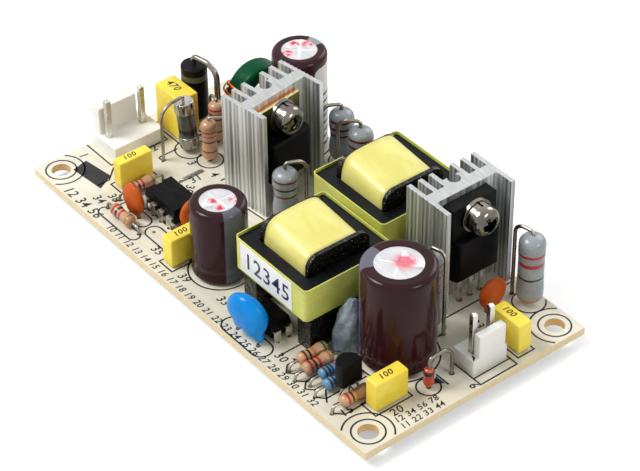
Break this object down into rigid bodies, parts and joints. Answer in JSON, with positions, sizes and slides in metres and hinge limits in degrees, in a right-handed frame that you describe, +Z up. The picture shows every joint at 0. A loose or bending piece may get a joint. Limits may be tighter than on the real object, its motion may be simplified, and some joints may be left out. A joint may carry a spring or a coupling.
{
  "type": "open frame power supply",
  "caption": "Open board power supply: ivory circuit board with two transformers, two finned heatsinks, capacitors, small parts and pin headers at each end.",
  "frame": {"origin": "middle of the board in plan, on the plane of the clipped lead ends under it", "axes": "+X from the input header end to the output header end, +Y from the front long edge to the back one, +Z up, away from the board's component side"},
  "size_m": [0.1016, 0.0508, 0.0266],
  "materials": {
    "back_can": "satin with a stamped cross",
    "back_can_sleeve": "dark brown shrunk film with a grey stripe",
    "blue_disc_capacitor": "dipped coating, glossy",
    "blue_resistors": "painted coating with colour bands",
    "can_bungs": "matt",
    "centre_can": "satin with a stamped cross",
    "centre_can_sleeve": "dark brown shrunk film with a grey stripe",
    "chip_pins": "bright tin plate",
    "choke_core": "green epoxy coating",
    "choke_winding": "varnished copper wire",
    "circuit_board": "ivory coated laminate with black print and tan edges",
    "component_leads": "bright tin plate",
    "controller_chip": "moulded, satin",
    "diode_leads": "bright tin plate",
    "flat_washers": "bright plating",
    "front_film_capacitor": "moulded box, satin",
    "fuse_end_caps": "nickel plate",
    "fuse_glass": "clear",
    "glass_diode": "sealed glass with a black ring",
    "grey_resistors": "painted coating with colour bands",
    "heatsink_left": "satin, ribbed by extrusion",
    "heatsink_pins": "bright tin plate",
    "heatsink_right": "satin, ribbed by extrusion",
    "heatsink_screws": "bright plating",
    "input_film_capacitor": "moulded box, satin",
    "input_header": "white nylon",
    "input_pins": "bright tin plate",
    "left_disc_capacitor": "dipped coating, satin",
    "left_film_capacitor": "moulded box, satin",
    "main_transformer_bobbin": "moulded, glossy",
    "main_transformer_core": "matt ferrite",
    "main_transformer_pins": "bright tin plate",
    "main_transformer_tape": "pale yellow polyester tape",
    "main_transformer_winding": "pale yellow polyester tape",
    "middle_disc_capacitor": "dipped coating, satin",
    "optocoupler": "moulded, satin",
    "output_can": "satin with a stamped cross",
    "output_can_sleeve": "dark brown shrunk film with a grey stripe",
    "output_film_capacitor": "moulded box, satin",
    "output_header": "white nylon",
    "output_pins": "bright tin plate",
    "output_rectifier_body": "moulded, satin",
    "package_legs": "bright tin plate",
    "rectifier_diode": "moulded with a silver ring",
    "right_disc_capacitor": "dipped coating, satin",
    "right_film_capacitor": "moulded box, satin",
    "second_transformer_bobbin": "moulded, glossy",
    "second_transformer_core": "matt ferrite",
    "second_transformer_pins": "bright tin plate",
    "second_transformer_tape": "pale yellow polyester tape",
    "second_transformer_winding": "pale yellow polyester tape",
    "silicone_adhesive": "translucent, smooth",
    "small_transistor": "moulded, satin",
    "solder_joints": "shiny solder",
    "spring_washers": "bright plating",
    "tan_resistors": "painted coating with colour bands",
    "transformer_label": "white, bare",
    "transistor_body": "moulded, satin",
    "transistor_tab": "tinned copper, dulled"
  },
  "bodies": {
    "root": {"back_can": "back_can", "back_can_sleeve": "back_can_sleeve", "blue_disc_capacitor": "blue_disc_capacitor", "blue_resistors": "blue_resistors", "can_bungs": "can_bungs", "centre_can": "centre_can", "centre_can_sleeve": "centre_can_sleeve", "chip_pins": "chip_pins", "choke_core": "choke_core", "choke_winding": "choke_winding", "circuit_board": "circuit_board", "component_leads": "component_leads", "controller_chip": "controller_chip", "diode_leads": "diode_leads", "flat_washers": "flat_washers", "front_film_capacitor": "front_film_capacitor", "fuse_end_caps": "fuse_end_caps", "fuse_glass": "fuse_glass", "glass_diode": "glass_diode", "grey_resistors": "grey_resistors", "heatsink_left": "heatsink_left", "heatsink_pins": "heatsink_pins", "heatsink_right": "heatsink_right", "heatsink_screws": "heatsink_screws", "input_film_capacitor": "input_film_capacitor", "input_header": "input_header", "input_pins": "input_pins", "left_disc_capacitor": "left_disc_capacitor", "left_film_capacitor": "left_film_capacitor", "main_transformer_bobbin": "main_transformer_bobbin", "main_transformer_core": "main_transformer_core", "main_transformer_pins": "main_transformer_pins", "main_transformer_tape": "main_transformer_tape", "main_transformer_winding": "main_transformer_winding", "middle_disc_capacitor": "middle_disc_capacitor", "optocoupler": "optocoupler", "output_can": "output_can", "output_can_sleeve": "output_can_sleeve", "output_film_capacitor": "output_film_capacitor", "output_header": "output_header", "output_pins": "output_pins", "output_rectifier_body": "output_rectifier_body", "package_legs": "package_legs", "rectifier_diode": "rectifier_diode", "right_disc_capacitor": "right_disc_capacitor", "right_film_capacitor": "right_film_capacitor", "second_transformer_bobbin": "second_transformer_bobbin", "second_transformer_core": "second_transformer_core", "second_transformer_pins": "second_transformer_pins", "second_transformer_tape": "second_transformer_tape", "second_transformer_winding": "second_transformer_winding", "silicone_adhesive": "silicone_adhesive", "small_transistor": "small_transistor", "solder_joints": "solder_joints", "spring_washers": "spring_washers", "tan_resistors": "tan_resistors", "transformer_label": "transformer_label", "transistor_body": "transistor_body", "transistor_tab": "transistor_tab"}
  },
  "joints": []
}
